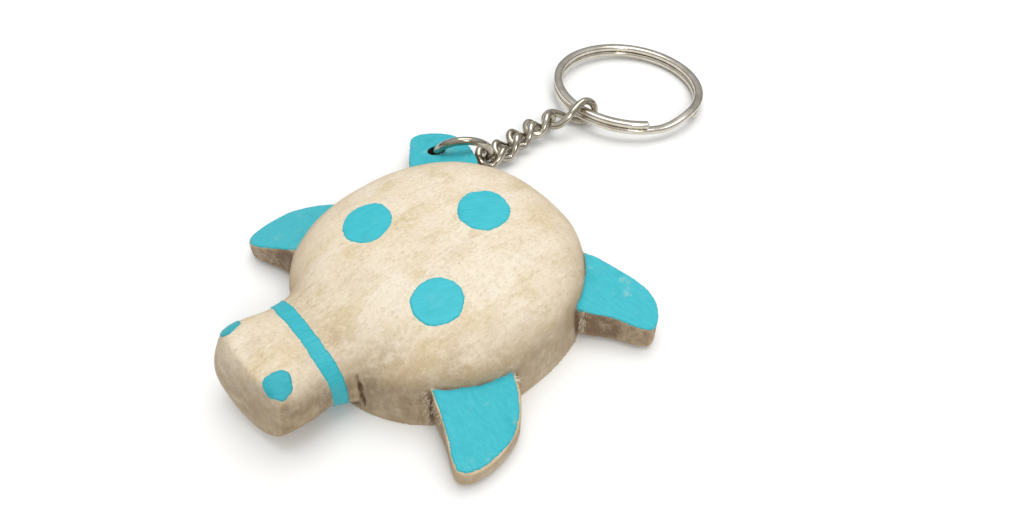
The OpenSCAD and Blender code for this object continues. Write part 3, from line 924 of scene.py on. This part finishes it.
# name, where it lies, size of its streaks, CAD node, stroke angle, wear, relief, and the painted shade that
# darkens each coat
COATS = [("painted_spots", in_spots, (0.5, 2.0, 0.5), "paint_shell_spots", 1.2, 0.10, 0.10, 0.97),
         ("painted_flippers", in_flippers, (2.4, 0.4, 0.6), "paint_flippers", 0.1, 0.45, 0.16, 0.92),
         ("painted_collar", in_collar, (2.2, 0.35, 1.2), "paint_collar", 1.4, 0.1, 0.25, 0.88),
         ("painted_eyes", in_eyes, (0.9, 0.3, 0.9), "paint_eyes", 0.9, 0.05, 0.9, 0.80)]

turtle = wooden_block()
for name, inside, streaks, cad_node, angle, wear, relief, shade_factor in COATS:
    coat = paint_coat(name, turtle, inside, streaks)
    acrylic = paint_material(name + "_acrylic", angle, wear, relief, shade_factor)
    dress(coat, acrylic, "turtle", cad_node)
dress(turtle, wood_material("whitewashed_wood", 0.0), "turtle", "turtle_body")
fibres = torn_fibres(turtle)
fibres.data.materials.append(wood_material("torn_wood", 0.55))
shade_smooth(fibres)
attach(fibres, "turtle")

# the chain and jump ring get a darker copy of the nickel: painted dark reflection
chain_nickel_shaded = nickel_material("chain_nickel_shaded", CHAIN_SHADED_BRIGHT, CHAIN_SHADED_DULL)
dress(jump_ring(), chain_nickel_shaded, "jump_ring", "jump_ring")
meeting = contacts()
for k in range(5):
    number = k + 1
    link = chain_link("curb_link_%d" % number, meeting[k], meeting[k + 1], HALF_WIDTHS[k],
                      np.radians(ROLLS[k]), TWIST_RUNS[k])
    body = "end_link" if number == 5 else "link_%d" % number
    dress(link, chain_nickel_shaded, body, "chain_link_%d" % number)
ring_nickel = nickel_material("ring_nickel", RING_BRIGHT, RING_DULL)
dress(split_ring(), ring_nickel, "split_ring", "split_ring")


# --- floor and light --------------------------------------------------------------------------
def floor():
    bm = bmesh.new()
    bmesh.ops.create_grid(bm, x_segments=8, y_segments=8, size=3.0)
    mesh = bpy.data.meshes.new("floor")
    bm.to_mesh(mesh)
    bm.free()
    obj = bpy.data.objects.new("floor", mesh)
    bpy.context.scene.collection.objects.link(obj)
    mat, _, shader, _ = material("white_sweep")
    shader.inputs["Base Color"].default_value = (0.93, 0.93, 0.92, 1)
    shader.inputs["Roughness"].default_value = 0.7
    shader.inputs["Specular IOR Level"].default_value = 0.2
    mesh.materials.append(mat)


def area_light(name, at, target, size, power, colour=(1, 1, 1)):
    data = bpy.data.lights.new(name, "AREA")
    data.shape, data.size, data.energy, data.color = "DISK", size, power, colour
    obj = bpy.data.objects.new(name, data)
    bpy.context.scene.collection.objects.link(obj)
    obj.location = at
    obj.rotation_euler = (Vector(target) - Vector(at)).to_track_quat("-Z", "Y").to_euler()


floor()
world = bpy.data.worlds.new("studio")
world.use_nodes = True
sky = world.node_tree
sky.nodes["Background"].inputs[0].default_value = (0.98, 0.99, 1.0, 1)
# the studio is brighter overhead than round the sides
height = height_part(sky, sky.nodes.new("ShaderNodeTexCoord").outputs["Generated"])
sky.links.new(band(sky, height, 0.0, 0.9, 0.22, 0.80), sky.nodes["Background"].inputs[1])
bpy.context.scene.world = world
area_light("key_light", (-0.05, 0.13, 0.62), (0, 0.01, 0), 0.50, 1.85, (1.0, 0.99, 0.98))
area_light("fill_light", (0.42, -0.16, 0.42), (0, 0.01, 0), 0.16, 0.7)
bpy.context.scene.view_settings.view_transform = "Standard"
